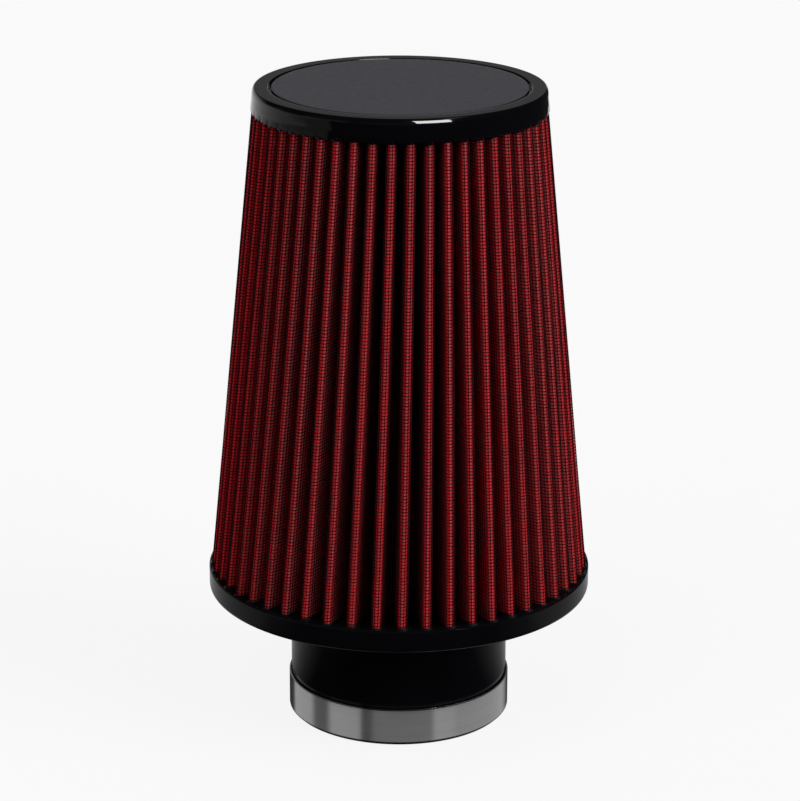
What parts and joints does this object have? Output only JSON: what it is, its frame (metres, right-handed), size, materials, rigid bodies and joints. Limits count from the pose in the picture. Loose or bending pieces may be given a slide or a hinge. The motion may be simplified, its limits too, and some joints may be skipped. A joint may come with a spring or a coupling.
{
  "type": "cone air filter",
  "caption": "Tapered clamp-on air filter for an engine intake: pleated oiled gauze between wire screens, moulded end caps, and a neck with a worm-drive hose clamp.",
  "frame": {"origin": "centre of the neck's open end, on the filter's axis, where the part stands", "axes": "+Z along the filter's axis from the neck's open end to the top cap, +Y towards the clamp's screw, +X along the screw towards its head"},
  "size_m": [0.15, 0.15, 0.2521],
  "materials": {
    "cap_rubber": "glossy moulded black polyurethane",
    "plate_grey": "satin dark grey",
    "coated_wire": "black epoxy-coated woven wire",
    "red_cotton": "oiled red cotton gauze",
    "bare_wire": "plain woven wire",
    "band_steel": "brushed stainless steel",
    "screw_steel": "plated steel"
  },
  "bodies": {
    "filter": {"base_cap": "cap_rubber", "top_cap": "cap_rubber", "top_plate": "plate_grey", "outer_screen": "coated_wire", "gauze_ply_1": "red_cotton", "gauze_ply_2": "red_cotton", "gauze_ply_3": "red_cotton", "gauze_ply_4": "red_cotton", "inner_screen": "bare_wire", "clamp_band": "band_steel", "clamp_housing": "band_steel"},
    "screw": {"clamp_screw": "screw_steel"}
  },
  "joints": [
    {"name": "clamp_screw_turn", "type": "hinge", "parent": "filter", "child": "screw", "pos_m": [0, 0.0485, 0.00795], "axis": [1, 0, 0], "continuous": true}
  ]
}
